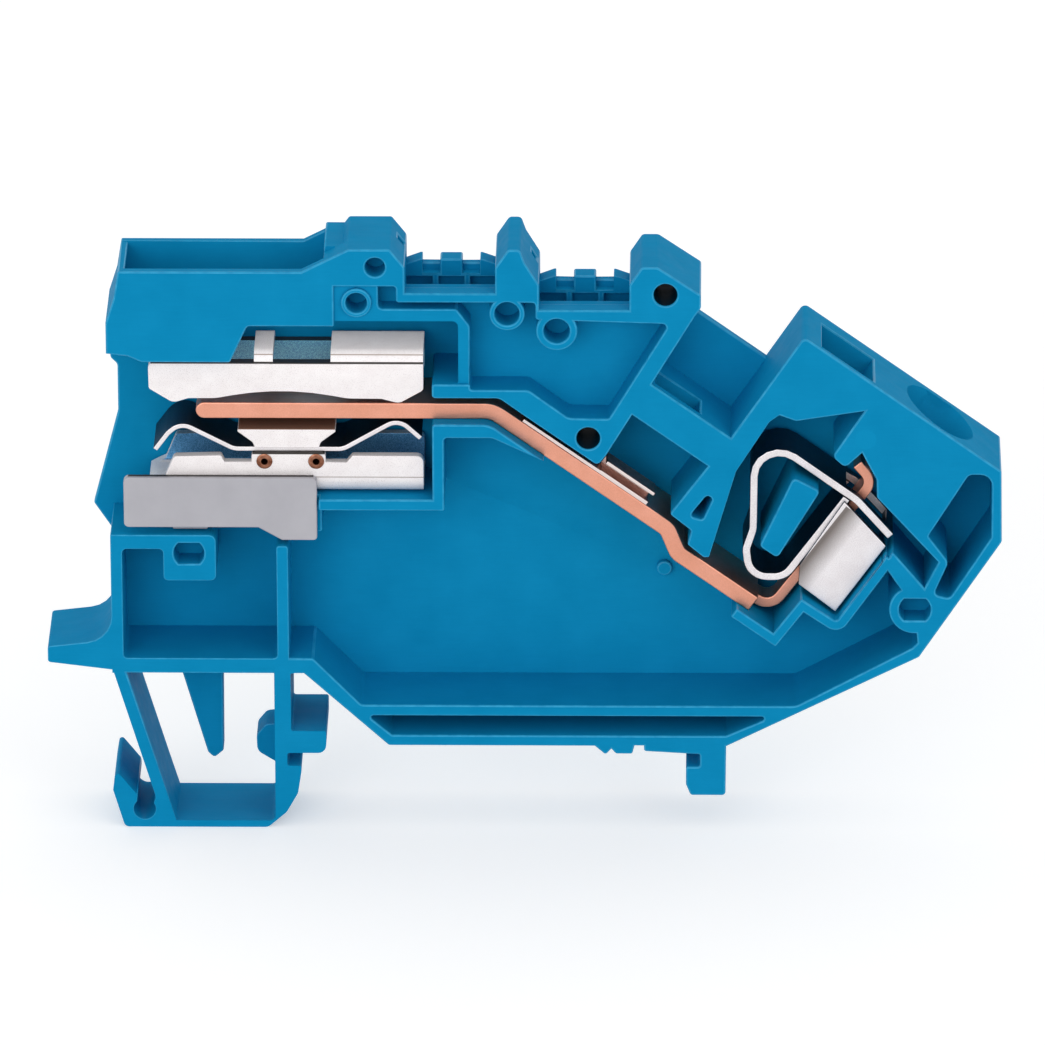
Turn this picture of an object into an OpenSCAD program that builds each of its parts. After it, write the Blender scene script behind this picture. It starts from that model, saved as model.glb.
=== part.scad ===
// Disconnect terminal block that snaps on with two hooks, with its open side to the front.
// X runs along the block, Y through its thickness and Z up. The open front faces -Y.
// Origin: middle between the hooks, in the plane that the block sits on, middle of the thickness.
// Outlines are drawn in the X-Z plane and extruded between two depths behind the open front.

/* [Housing] */
// Thickness of the block from the open front to the back
block_t = 8; // [7:0.5:10]
// Thickness of the closed back plate
plate_t = 0.8; // [0.6:0.1:1.2]
// Thickness of the upright walls and ribs
wall_t = 1; // [0.8:0.05:1.2]
// Thickness of the front wall of the driver trough
trough_wall_t = 0.8; // [0.6:0.05:1]
// Thickness of the nose at the left end of the trough
nose_t = 0.6; // [0.5:0.05:1]
// Height of the driver trough's rim above the left marker pocket's rim
trough_rise = 1.9; // [1.1:0.1:2.6]
// Height of the left marker tower above its pocket's rim
tower_rise = 3.95; // [3.1:0.05:5.1]
// Depth of the sunk panel between the markers and the bar
panel_depth = 3.2; // [2:0.1:3.8]
// Left face of the box under the slide, from the middle of the seat
box_left = 32.6; // [32:0.1:33.2]
// Right face of the clamp tower, from the middle of the seat
clamp_right = 43.35; // [42.6:0.05:44.5]
// Underside of the deck over the snap foot
deck_z = 7.4; // [7:0.1:7.8]
// Length of the finger horn beside the deck
horn_len = 5.5; // [3.5:0.1:8]
// Height that the locating pegs stand out of the back
peg_h = 1.2; // [0.8:0.1:1.8]
// Radial gap between a peg and the socket of the next block
peg_clear = 0.1; // [0.05:0.05:0.2]

/* [Seat] */
// Width that the two hooks take between them
seat_w = 35; // [34.6:0.1:35.4]
// Thickness of the lips that the hooks hold
lip_t = 1; // [0.8:0.1:1.3]
// Gap round the lips
lip_clear = 0.2; // [0.1:0.05:0.3]
// How far the hooks reach in under the lips
hook_reach = 1; // [0.6:0.1:1.5]
// Depth of the snap foot below the seat
foot_drop = 6.95; // [6.4:0.05:7.6]
// Depth of the fixed hook below the seat
hook_drop = 3.85; // [3.2:0.05:4.5]

/* [Markers] */
// Clear width of a marker pocket
marker_w = 7.65; // [7:0.05:8]
// Height of the left marker pocket's rim above the bar's middle line
marker_rise = 11.25; // [11.05:0.05:11.65]
// How far the right marker pocket's rim lies below the left one
marker_step = 1.5; // [1.2:0.05:1.8]
// Width of the notches in a marker pocket's back wall
notch_w = 1.5; // [1:0.1:2]

/* [Current bar] */
// Height of the bar's middle line above the seat
bar_z = 31.15; // [30.8:0.05:31.4]
// Thickness of the bar
bar_t = 1.45; // [1.1:0.05:1.6]
// How far the bar's front edge lies behind the open front
bar_inset = 1.3; // [1:0.1:2]
// Left end of the bar, from the middle of the seat
bar_left = 25.2; // [24:0.1:26]
// Width of the tongue in the clamp
tongue_w = 2.4; // [1.8:0.1:3]
// Thickness of the tongue
tongue_t = 0.95; // [0.8:0.05:1.2]

/* [Disconnect slide] */
// Travel of the slide from open to closed
slide_travel = 5; // [4:0.1:5.6]
// Gap between the slide and the walls that guide it
slide_clear = 0.15; // [0.1:0.05:0.3]
// Gap between the bar and the contact bumps
contact_clear = 0.12; // [0.08:0.02:0.25]
// Sheet thickness of the two jaws
jaw_t = 0.9; // [0.6:0.05:1.1]
// Left end of the upper jaw, from the middle of the seat
jaw_left = 29.2; // [28.4:0.1:30]
// Right end of both jaws, from the middle of the seat
jaw_right = 5.85; // [5.5:0.05:6.5]
// Height of the upper jaw from its contact bumps to its top
upper_jaw_h = 3.65; // [3.4:0.05:4]
// How far the tabs stand over the upper jaw's cheeks
tab_rise = 0.9; // [0.5:0.05:1]
// Underside of the lower jaw above the seat
lower_jaw_z = 23.65; // [23.4:0.05:23.9]
// Height of the lower jaw over its raised middle
lower_jaw_h = 3.8; // [3.6:0.05:4]
// Thickness of the leaf spring between bar and lower jaw
leaf_t = 0.4; // [0.3:0.05:0.5]
// Outer radius of the tubular rivets in the lower jaw
rivet_r = 0.5; // [0.4:0.05:0.6]
// Thickness of the front skirt of the plastic shoe
shoe_t = 0.85; // [0.6:0.05:1]
// Right end of the shoe, from the middle of the seat
shoe_right = 14.95; // [14.6:0.05:15.2]
// Top of the shelf that the shoe slides along
shelf_z = 20.2; // [20:0.05:20.4]
// Right end of the shelf, which stops the shoe
shelf_right = 23.6; // [23:0.1:24]

/* [Cage clamp] */
// Strip thickness of the cage spring
cage_t = 0.65; // [0.5:0.05:0.8]
// Width of the cage spring's strip
cage_w = 5; // [4.4:0.1:5.4]
// Radius of the conductor funnel at its mouth
funnel_r = 3.5; // [3:0.05:3.6]
// Radius of the conductor hole
conductor_r = 1.9; // [1.6:0.1:2.1]
// Length of the screwdriver pocket along the slope
driver_pocket_l = 5.4; // [4.6:0.1:6]
// Strip thickness of the jumper contact
contact_t = 0.3; // [0.2:0.05:0.5]
// Width of the jumper contact's leaves
contact_w = 2.2; // [1.6:0.1:3]

/* [Hidden] */
$fn = 48;

// Colours of the mouldings and metals
blue = [0.06, 0.50, 0.71];
copper = [0.90, 0.58, 0.45];
silver = [0.90, 0.89, 0.88];
steel = [0.80, 0.80, 0.81];
grey = [0.69, 0.69, 0.71];

// Depths behind the open front
floor_d = block_t - plate_t;
shoe_d = slide_clear;
jaw_d0 = shoe_d + shoe_t;
jaw_d1 = floor_d - slide_clear;
cage_d0 = bar_inset + 0.3;
tongue_mid = cage_d0 + cage_w / 2;

// Inclined frame of the clamp side: u runs down the slope from the bar's bend, w stands square on it
slope = 36;
slot_u0 = 9.1;      // left wall of the jumper slot
slot_u1 = 17.5;     // right wall of the jumper slot
slot_floor = 10.4;  // floor of the jumper slot
pocket_roof = 7.15; // roof of the contact pocket under the slot
plate_w = 15.8;     // top of the back plate behind the slot
tower_w = 21.5;     // sloping top of the clamp tower
conductor_u = 31.4; // middle of the conductor hole
funnel_h = 3.7;     // height of the funnel over the conductor hole
guide_w = 15.7;     // lower end of the conductor hole, over a wider pocket
pocket_r = conductor_r + 0.3;
jog_drop = 1.28;    // drop of the bar's middle line on the way to the clamp
arm_u = 29.1;       // lower arm of the cage spring, square on the slope
tongue_u = arm_u + cage_t / 2 + tongue_t / 2 + 0.3; // tongue beside that arm
bend_r = 2.2;       // radius of the bar's middle line at its bend

// Heights that follow the bar
bar_top = bar_z + bar_t / 2;
bar_bottom = bar_z - bar_t / 2;
upper_jaw_z = bar_top + contact_clear;
upper_jaw_top = upper_jaw_z + upper_jaw_h;
tab_top = upper_jaw_top + tab_rise;
lower_jaw_top = lower_jaw_z + lower_jaw_h;
leaf_z = lower_jaw_top + leaf_t / 2;
leaf_hump = bar_bottom - contact_clear - leaf_t / 2;
runner_z = lower_jaw_z - slide_clear;

// Heights of the rims over the slide
marker_rim = bar_z + marker_rise;
trough_top = marker_rim + trough_rise;
tower_top = marker_rim + tower_rise;
apron_z = upper_jaw_top + 0.4;     // lower edge of the trough's front wall
sill_z = bar_z + 2.95;             // top of the wall over the bar beside the slide

// Walls round the bar and the seat
over_bar = bar_top + 0.95;         // underside of the wall over the bar
cover_w = bar_t / 2 + 0.95;        // the same gap along the slope
lip_edge = seat_w / 2 + lip_clear;
hook_tip = seat_w / 2 - hook_reach;
lip_low = -lip_t - lip_clear;
deck_top = deck_z + 1.4;
stop_x = -shelf_right + slide_travel + slide_clear; // foot of the shoe's stop ramp at shelf height
stop_wall = 18.45;                 // left face of the wall under the shoe's stop
ledge_d = 2.2;                     // front depth of the ledge on the left marker tower
ledge_z = tower_top - 0.55;
field_d = 0.35;                    // how far the rib over the slide is sunk behind the front

// Rim of the driver trough where it climbs to the left marker tower
function climb(x) = trough_top + (x + 16.1) * (tower_top - trough_top) / 4;

// Plane geometry
function unit(v) = v / norm(v);
function back(list) = [for (i = [len(list) - 1:-1:0]) list[i]];
function flat(p) = [p[0], p[1]];
function inclined(u, w) = [u * cos(slope) + w * sin(slope), bar_z - u * sin(slope) + w * cos(slope)];
function incline(list) = [for (p = list) concat(inclined(p[0], p[1]), len(p) > 2 ? [p[2]] : [])];

// Arc that rounds the corner b between a and c with radius r
function corner(a, b, c, r, steps = 5) =
    let (to_a = unit(a - b), to_c = unit(c - b), half = acos(to_a * to_c) / 2,
         middle = b + unit(to_a + to_c) * r / sin(half),
         start = b + to_a * r / tan(half) - middle, end = b + to_c * r / tan(half) - middle,
         from = atan2(start[1], start[0]),
         turn = atan2(start[0] * end[1] - start[1] * end[0], start * end))
    [for (i = [0:steps]) middle + r * [cos(from + turn * i / steps), sin(from + turn * i / steps)]];

// Closed outline: a point [x, z, r] has its corner rounded with radius r
function rounded(points) =
    let (n = len(points))
    [for (i = [0:n - 1])
        let (b = points[i])
        each len(b) > 2 && b[2] > 0
            ? corner(flat(points[(i + n - 1) % n]), flat(b), flat(points[(i + 1) % n]), b[2])
            : [flat(b)]];

// Open middle line with rounded bends, in the same notation
function bent(points) =
    let (n = len(points))
    [for (i = [0:n - 1])
        let (b = points[i])
        each i > 0 && i < n - 1 && len(b) > 2 && b[2] > 0
            ? corner(flat(points[i - 1]), flat(b), flat(points[i + 1]), b[2], 6)
            : [flat(b)]];

// Line at a distance beside a middle line, left of its direction
function beside(line, dist) =
    let (n = len(line))
    [for (i = [0:n - 1])
        let (before = unit(line[max(i, 1)] - line[max(i, 1) - 1]),
             after = unit(line[min(i, n - 2) + 1] - line[min(i, n - 2)]),
             mean = unit(before + after), side = [-mean[1], mean[0]])
        line[i] + side * dist / (mean * after)];

// Outline of a strip between two distances beside a middle line
function strip(points, right, left) =
    let (line = bent(points)) concat(beside(line, left), back(beside(line, right)));

module outline(points) polygon(rounded(points));
module band(points, right, left) polygon(strip(points, right, left));

// Extrudes an X-Z outline between two depths behind the open front
module slab(front, rear)
    translate([0, rear - block_t / 2, 0]) rotate([90, 0, 0]) linear_extrude(rear - front) children();

// Round bar along Y between two depths
module round_bar(at, r, front, rear)
    translate([at[0], rear - block_t / 2, at[1]]) rotate([90, 0, 0]) cylinder(r = r, h = rear - front);

// Places solids drawn in the inclined frame: X along u, Z along w
module on_slope() translate([0, 0, bar_z]) rotate([0, slope, 0]) children();

// Housing: outlines

// Left edge of the nose over the busbar notch, from the rim down
nose_edge = [[-31.6, trough_top], [-32, trough_top - 2.5], [-32.7, trough_top - 4.7]];
nose = concat(nose_edge, [[-32.7, apron_z + 0.75]]);
trough_end = -14.2;
tower_right = -7.35;
marker2_left = tower_right + marker_w + 3.7;
end_left = marker2_left + marker_w;
rim2 = marker_rim - marker_step;
rib_top = marker_rim - 1.55;    // rib over the slide chamber
rib_bottom = rib_top - 1.1;
panel_top = marker_rim - 0.85;
field_top = marker_rim + 0.6;   // top of the sunk field round the left socket
notch_z1 = marker_rim - 0.6; // floors of the notches in the markers' back walls
notch_z2 = rim2 - 0.6;

// Solid upper body, from the trough's end to the wall of the jumper slot
upper_body = concat(
    [[trough_end, rib_bottom], [trough_end, ledge_z], [-12.6, ledge_z], [-12.2, tower_top, 0.3],
     [-8.6, tower_top, 0.3], [tower_right, tower_top - 1.6], [tower_right, marker_rim],
     [tower_right + marker_w, marker_rim], [tower_right + marker_w, marker_rim + 2.3],
     [tower_right + marker_w + 1.1, marker_rim + 3.95, 0.4],
     [tower_right + marker_w + 2.1, marker_rim + 3.95, 0.4],
     [tower_right + marker_w + 2.5, marker_rim + 2.8], [marker2_left, marker_rim + 0.8], [marker2_left, rim2],
     [end_left, rim2], [end_left, rim2 + 2.3], [end_left + 1.05, rim2 + 3.9, 0.4],
     [end_left + 2.4, rim2 + 3.9, 0.6], [17.7, rim2 + 1.4], [17.7, rim2 + 0.2]],
    incline([[slot_u0 - 0.6, 17.5], [slot_u0 + 0.8, 2.8], [slot_u0 + 0.75, cover_w, 0.4], [2, cover_w]]),
    [[0.6, over_bar, 1], [-5.1, over_bar, 0.3], [-5.1, sill_z, 0.25], [-1.85 - wall_t, sill_z, 0.2],
     [-1.85 - wall_t, rib_bottom, 0.5]]);

// Sunk panel between the ribs of the upper body
panel = concat(
    [[-1.85, sill_z - 0.5, 0.2], [3.1, sill_z - 0.5, 1], [6.5, bar_z - 0.1, 1]],
    incline([[slot_u0 - 1, 5.7, 0.3], [slot_u0 - 1.95, 15.7, 0.35]]),
    [[marker2_left - 0.3, rim2 - 0.9, 0.3], [marker2_left - 0.3, panel_top, 0.3],
     [-3.5, panel_top], [-1.85, rib_bottom - 0.45, 0.9]]);

// Narrow groove over the slide chamber, which runs out into the sunk panel
groove = [[-9.6, rib_top, 0.4], [-2.2, rib_top], [-2.2, panel_top], [-8.1, panel_top, 0.25],
          [-8.1, field_top, 0.25], [-9.6, field_top]];

// Sunk field round the left socket, with the rib and the wall beside the sunk panel
field = [[-13.35, sill_z], [-1.6, sill_z], [-1.6, rib_top], [-8.8, rib_top], [-8.8, field_top],
         [-13.35, field_top]];

// Front wall of the driver trough, with the window over the slide's tabs
trough_front = concat(nose,
    [[-30.9, apron_z + 0.55], [-29.7, apron_z], [-22.2, apron_z], [-20.7, rib_bottom - 0.4, 0.4],
     [-13.35, rib_bottom - 0.4], [-13.35, climb(-13.35)],
     [-16.1, trough_top]]);

// Corner between the base and the lower edge of the clamp tower
base_corner = [36.4, 9.1];

// Back plate: the whole block but the foot
plate_outline = concat(
    nose_edge, [[-32.7, 33.6, 0.5], [-32.1, 33, 0.6], [-32.1, 28.7, 2],
     [-34.3, shelf_z], [-box_left, 17.6], [-box_left, deck_z], [-16.2, deck_z],
     [-9, 0.75], [20, 0.75], base_corner,
     [clamp_right, 19.8]],
    incline([[37.85, tower_w], [17.05, tower_w, 0.5], [17.35, plate_w], [slot_u0 - 0.5, plate_w]]),
    [[17.7, rim2 + 0.2], [17.7, rim2 + 1.4], [end_left + 2.4, rim2 + 3.5], [end_left, notch_z2],
     [marker2_left, notch_z2],
     [marker2_left, notch_z1], [tower_right, notch_z1], [-8.6, tower_top - 0.8],
     [-12.2, tower_top - 0.8], [trough_end + 0.5, climb(trough_end)], [trough_end, climb(trough_end)],
     [-16.1, trough_top]]);

// Clamp tower with the leg beside the jumper slot
clamp_tower = concat(
    incline([[slot_u1 - 0.1, cover_w, 0.3], [19.8, cover_w - 0.15, 0.3], [20.3, 0.3, 0.2], [22.1, 0.15, 0.3],
             [34.8, 10.1]]),
    [[33.4, 17.6], [35.8, 14.6], base_corner, [clamp_right, 19.8]],
    incline([[37.85, tower_w], [slot_u1 - 0.45, tower_w, 0.5], [slot_u1, slot_floor]]));

// Chamber of the cage spring, open below towards the bar
chamber = concat(
    incline([[22.5, 0.3], [19.65, 8.2], [19.25, 13.5, 0.3], [19.55, 14.5], [21.05, 14.9], [25.2, 19.05],
             [25.45, 14.1, 0.5], [26.95, 13.9, 0.5], [27.3, 15.85], [29.75, 14.6, 0.5], [30.75, 13.3],
             [38.5, 11.6]]),
    [[36.8, 15.5], [34.1, 18.8]],
    incline([[34.4, 4], [27, -1]]));

// Hollow beside the clamp chamber, under the right face
side_pocket = [[37.1, 20.3, 0.2], [40.5, 25.95, 0.6], [clamp_right - 0.9, 25.95, 1],
               [clamp_right - 0.9, 20.2, 0.4], [38.95, 14.55, 0.5], [37.6, 14.9, 0.4], [38.85, 17.9, 0.8]];

// Post inside the loop of the cage spring
spring_post = incline([[24, 10.5, 0.4], [26.6, 10.85, 0.4], [27.3, 3.7, 0.4], [25.4, 3.7, 0.4]]);

// Triangular through hole in the leg of the tower
leg_hole = incline([[18.95, 5, 0.3], [19.55, 4.95, 0.3], [20, 2.9, 0.3], [18.9, 2.5, 0.3]]);

// Box under the slide: deck, outer wall, shelf with its block and the wall under the shoe's stop
box_wall = [[-box_left, deck_z], [-stop_wall + wall_t, deck_z], [-stop_wall + wall_t, 19.2, 0.25],
            [-stop_wall, 19.2, 0.25], [-stop_wall, deck_top, 0.35], [-box_left + wall_t, deck_top, 0.35],
            [-box_left + wall_t, shelf_z - 1.3, 0.4], [-28.1, shelf_z - 1.3, 0.4], [-28.1, 16, 0.4],
            [-shelf_right, 16, 0.5], [-shelf_right, shelf_z, 0.6], [-box_left, shelf_z]];

// Base: sloping walls down to the seat and up to the clamp, with a double floor between them
base_top = 4.5;
base_wall = [[-stop_wall + 0.4, deck_z], [-16.2, deck_z], [-9, 0.75], [20, 0.75], base_corner,
             [37.2, 11.4], [35.8, 9.95, 0.3], [25.9, base_top, 1.5],
             [-11.3, base_top, 0.6], [-15.4, deck_top], [-stop_wall + 0.4, deck_top]];
base_slot = [[-8.7, 1.7, 0.2], [19.9, 1.7, 0.2], [23.9, 3.5, 0.2], [-10.8, 3.5, 0.2]];

foot_arm = [[-32, deck_z + 0.3], [-27.75, -foot_drop + 0.3]];
post_left = -lip_edge - 1.05;
foot_floor = 0.6 - foot_drop;

// Housing: solids

module marker_hollow(left, rim) {
    right = left + marker_w;
    rim_d = 1.55;  // thickness of the rim at the front
    step_d = 0.5;  // step down behind the rim
    skin = 0.4;    // thickness that is left behind the sunk panel
    slab(rim_d, floor_d)
        outline([[left, rim - step_d], [right, rim - step_d], [right, rim + 1], [left, rim + 1]]);
    slab(panel_depth + skin, floor_d)
        outline([[left, rim - 2.5, 0.2], [right, rim - 2.5, 0.2], [right, rim], [left, rim]]);
}

module marker_wall(left, rim) {
    middle = left + marker_w / 2;
    right = left + marker_w;
    lip_d = floor_d - 1;
    lip_z = rim - 0.9;
    top = rim + 0.7;
    difference() {
        slab(lip_d, block_t)
            outline([[left - 0.2, lip_z], [right + 0.2, lip_z], [right + 0.2, top - 0.5], [right - 1.2, top],
                     [left + 1.2, top], [left - 0.2, top - 0.5]]);
        for (side = [-1, 1])
            translate([middle + side * 1.7 - notch_w / 2, 0, rim - 0.6]) cube([notch_w, block_t, 2]);
    }
    for (side = [-1, 1])
        slab(lip_d, floor_d + 0.1)
            translate([middle + side * 1.35 - 0.25, rim - 2.6]) square([0.5, 2]);
}

// Latch notch in the right side of a marker tower
module latch(right, top)
    slab(4.7, 5.7) outline([[right - 0.7, top - 0.9], [right + 0.3, top - 0.9], [right + 0.3, top + 1],
                            [right - 0.7, top + 1]]);

module upper_block() {
    difference() {
        union() {
            difference() {
                slab(0, block_t) outline(upper_body);
                slab(-1, panel_depth) outline(panel);
                slab(-1, 2.2) outline(groove);
                slab(-1, field_d) outline(field);
                // The rim's climb in front of the ledge
                slab(-1, ledge_d)
                    outline([[trough_end - 1, climb(trough_end - 1)], [-11, climb(-11)], [-11, tower_top + 2],
                             [trough_end - 1, tower_top + 2]]);
            }
            slab(0, ledge_d)
                outline([[trough_end, tower_top - 2], [trough_end, climb(trough_end)], [-12.1, tower_top],
                         [-11.6, tower_top], [-11.6, tower_top - 2]]);
            for (s = round_sockets) if (s[2] > 0) round_bar(s[0], s[2], 0, panel_depth + 0.5);
        }
        marker_hollow(tower_right, marker_rim);
        marker_hollow(marker2_left, rim2);
        latch(tower_right, tower_top - 0.7);
        latch(marker2_left, marker_rim + 2);
    }
    marker_wall(tower_right, marker_rim);
    marker_wall(marker2_left, rim2);
}

// Sockets for the pegs of the next block: middle, radius and radius of the ring round it
round_sockets = [[[-9.85, tower_top - 1.6], 0.85, 0], [[-11.45, marker_rim - 0.9], 0.9, 1.3],
                 [[1.3, marker_rim - 1.85], 1.05, 1.5], [[5.5, rim2 - 1.9], 1.1, 1.75]];
flat_sockets = [[[-25.9, 18.5], 1.3, 0.95], [[36, 13.5], 1.35, 1]];
through_holes = [[14.7, rim2 + 1.4], [8.15, 29.2]];
socket_depth = 2.4;

module flattened(at, r, half_h)
    translate(at) intersection() {
        circle(r);
        translate([-r, -half_h]) square([2 * r, 2 * half_h]);
    }

module trough() {
    slab(0, trough_wall_t) outline(trough_front);
    slab(0, block_t) band(nose, 0, nose_t);
}

module chamber_ribs() {
    // Rib beside and under the bar at the right end of the slide chamber
    slab(0, block_t) outline(concat(
        [[-5.1, runner_z - wall_t], [-5.1, bar_bottom, 0.3],
         [-bar_t / 2 * tan(slope / 2), bar_bottom, bend_r]],
        incline([[6, -bar_t / 2]]),
        [[0, bar_bottom - 1.25, 1], [-5.1 + wall_t, bar_bottom - 1.25, 0.3],
         [-5.1 + wall_t, runner_z - wall_t, 0.5]]));
    // Runner under the lower jaw
    slab(0, block_t)
        translate([-shoe_right + slide_clear, runner_z - wall_t])
            square([shoe_right - slide_clear - 5.1 + wall_t, wall_t]);
    slab(jaw_d0 + slide_clear, block_t)
        outline([[-15.6, runner_z - 3.4], [-15.6, runner_z, 0.3], [-shoe_right + 0.4, runner_z],
                 [-shoe_right + 0.4, runner_z - 3.4, 0.2]]);
    // Small rib and dimple block on the floor beside the bar's jog
    slab(floor_d - 1.2, block_t) outline([[14.2, 17.8], [14.6, 17.8], [14.6, 18.8], [14.2, 19.1]]);
    round_bar([14.6, 14.5], 0.65, floor_d - 0.6, block_t);
}

module left_box()
    slab(0, block_t) {
        outline(box_wall);
        // Finger horn
        outline([[-box_left + 0.2, 14.2], [-box_left, 14.2], [-box_left, 10.5, 2.4],
                 [-box_left - horn_len, 9.85, 0.25], [-box_left - horn_len, 8.4, 0.25],
                 [-box_left, deck_z + 0.3, 0.5], [-box_left + 0.8, deck_z]]);
    }

module base()
    slab(0, block_t) difference() {
        outline(base_wall);
        outline(base_slot);
    }

module seat_hooks() {
    slab(0, block_t) {
        // Fixed hook on the right
        outline([[12.9, 1.2], [12.9, 0.25, 0.2], [seat_w / 2 - 0.4, 0], [lip_edge, 0, 0.2],
                 [lip_edge, lip_low, 0.2], [hook_tip, lip_low, 0.2], [hook_tip, 1 - hook_drop],
                 [hook_tip + 0.4, -hook_drop, 0.3], [lip_edge + 2.2, -hook_drop, 0.3],
                 [lip_edge + 2.25, 1.2]]);
        // Small locating teeth beside it
        outline([[8.4, 1], [9.5, 0], [9.7, 0], [10.1, 0.45], [10.5, 0], [11.9, 0], [12.15, 1]]);
        // Foot with the post, the seat lug and the sprung hook on the left
        outline([[post_left, deck_z + 0.5], [post_left, foot_floor, 0.5], [-28.6, foot_floor],
                 [-28.6, -foot_drop], [-lip_edge - 1.7, -foot_drop, 0.8],
                 [-lip_edge - 0.1, 1.4 - foot_drop, 1.2], [-hook_tip - 0.3, 3.2 - foot_drop, 1],
                 [-hook_tip, lip_low - 0.6, 0.2],
                 [-hook_tip, lip_low, 0.2], [-lip_edge, lip_low, 0.2], [-lip_edge, 0, 0.2],
                 [-lip_edge + 3.35, 0, 0.7], [-lip_edge + 3.35, 2.05, 0.2], [-lip_edge + 0.35, 2.05, 0.2],
                 [-lip_edge + 0.35, deck_z + 0.5]]);
    }
}

module snap_foot() {
    slab(0, block_t) {
        band(foot_arm, -0.52, 0.52);
        // Release lug with its slot
        difference() {
            outline([[-32.4, -1.7, 0.25], [-32.7, -3.5, 0.6], [-31.7, -foot_drop, 0.5], [-28, -foot_drop],
                     [-28, foot_floor], [-28.8, -3.6], [-30.6, -4]]);
            translate([-30, -5.3]) circle(0.95);
            outline([[-30.6, -4.55], [-29.4, -5.2], [-29.05, -4.3], [-29.2, -3], [-30.6, -3]]);
        }
    }
    // Bulge behind the post, set back from the front
    slab(4.75, block_t)
        outline([[post_left + 0.2, 0.75], [post_left - 0.95, 0.6, 0.7], [post_left - 1.75, -0.4, 0.8],
                 [post_left - 1.7, -1.9, 0.8], [post_left + 0.2, -3.1]]);
    // Stop blade at the back of the foot
    slab(floor_d - 1.2, block_t)
        outline([[-27.6, deck_z + 0.1], [-24.75, -2.6], [-24.2, -3.1, 0.3], [-23.4, -2.4],
                 [-23.35, deck_z + 0.1]]);
}

module cross_rib()
    difference() {
        slab(0, block_t) outline(incline([[slot_u0 - 0.6, pocket_roof], [slot_u1 + 0.6, pocket_roof],
                                          [slot_u1 + 0.6, slot_floor], [slot_u0 - 0.6, slot_floor]]));
        // Way for the jumper into the contact pocket
        slab(wall_t, wall_t + 3)
            outline(incline([[slot_u0 + 0.7, pocket_roof - 1], [14.3, pocket_roof - 1],
                             [14.3, slot_floor + 1], [slot_u0 + 0.5, slot_floor + 1]]));
    }

module clamp_body() {
    cage_rib = incline([[27.2, -jog_drop - bar_t / 2], [31.05, -jog_drop - bar_t / 2], [31.1, 1.95],
                        [34.75, 2.05, 0.3], [34.6, 9.4]]);
    difference() {
        union() {
            slab(0, block_t) outline(clamp_tower);
            round_bar(flat_sockets[1][0], 2.2, 0, block_t);
        }
        slab(-1, floor_d) outline(chamber);
        slab(-1, floor_d) outline(side_pocket);
        slab(-1, block_t + 1) outline(leg_hole);
        // Screwdriver pocket, funnel, conductor hole and the pocket under it, square on the sloping top
        on_slope() {
            translate([19, 0.75 - block_t / 2, 13.5]) cube([driver_pocket_l, 5.2, tower_w]);
            translate([conductor_u, 0, tower_w - funnel_h])
                cylinder(r1 = conductor_r, r2 = 2 * funnel_r - conductor_r, h = 2 * funnel_h);
            translate([conductor_u, 0, 8]) cylinder(r = conductor_r, h = tower_w - 8);
            translate([conductor_u, 0, 8]) cylinder(r = pocket_r, h = guide_w - 8);
        }
    }
    // Seat of the bar's end and rest of the cage
    slab(0, block_t) band(cage_rib, -0.9, 0);
    // Ribs that carry the round boss between the walls
    slab(0, block_t) band([[34.2, 18.6], [36.3, 15.4]], -1.3, 0);
    slab(0.3, block_t) outline(spring_post);
}

module housing()
    color(blue) difference() {
        union() {
            slab(floor_d, block_t) outline(plate_outline);
            trough();
            upper_block();
            chamber_ribs();
            left_box();
            base();
            seat_hooks();
            snap_foot();
            cross_rib();
            clamp_body();
            for (s = flat_sockets)
                slab(block_t - 0.1, block_t + peg_h) flattened(s[0], s[1] - peg_clear, s[2] - peg_clear);
            for (s = [round_sockets[1], round_sockets[3]])
                round_bar(s[0], s[1] - peg_clear, block_t - 0.1, block_t + peg_h);
        }
        for (s = round_sockets) round_bar(s[0], s[1], -1, socket_depth);
        for (at = through_holes) round_bar(at, 1, -1, block_t + 1);
        for (s = flat_sockets) slab(-1, socket_depth) flattened(s[0], s[1], s[2]);
    }

// Current path

bar_line = concat([[-bar_left + bar_t / 2, bar_z], [0, bar_z, bend_r]],
                  incline([[18.4, 0, 1.4], [20.4, -jog_drop, 1.4], [28.4, -jog_drop]]));
tongue_line = incline([[27.6, -jog_drop], [tongue_u, -jog_drop, 1.4], [tongue_u, 3],
                       [tongue_u + 0.1, 13.35, 1.3], [28.3, 13.85]]);

module current_bar()
    color(copper) {
        slab(bar_inset, floor_d) {
            band(bar_line, -bar_t / 2, bar_t / 2);
            translate([-bar_left + bar_t / 2, bar_z]) circle(bar_t / 2);
        }
        slab(tongue_mid - tongue_w / 2, tongue_mid + tongue_w / 2)
            band(tongue_line, -tongue_t / 2, tongue_t / 2);
    }

// Cage spring: loop strip, window in its upper arm and flap folded over the conductor
cage_line = incline([[34.2, 10.6], [29.9, 11.6, 3], [19.1, 11.65, 2.15], [24.35, 4.25, 2], [24.95, 2.4, 1.5],
                     [26.7, 0.5, 1.7], [29.1, 2.25, 1.7], [arm_u, 11.2]]);

module clamp_spring()
    color(steel) {
        difference() {
            slab(cage_d0, cage_d0 + cage_w) band(cage_line, -cage_t / 2, cage_t / 2);
            // Window for the tongue and the conductor
            slab(tongue_mid - 1.6, tongue_mid + 1.6)
                outline(incline([[28.6, 11], [33.4, 10.4], [33.4, 13], [28.6, 13]]));
        }
        slab(cage_d0 - 0.3, cage_d0 + 0.3)
            outline(incline([[29.05, 10.95], [34.35, 9.75], [34.45, 2.3], [30.4, 2.5], [29.45, 4]]));
    }

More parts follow.
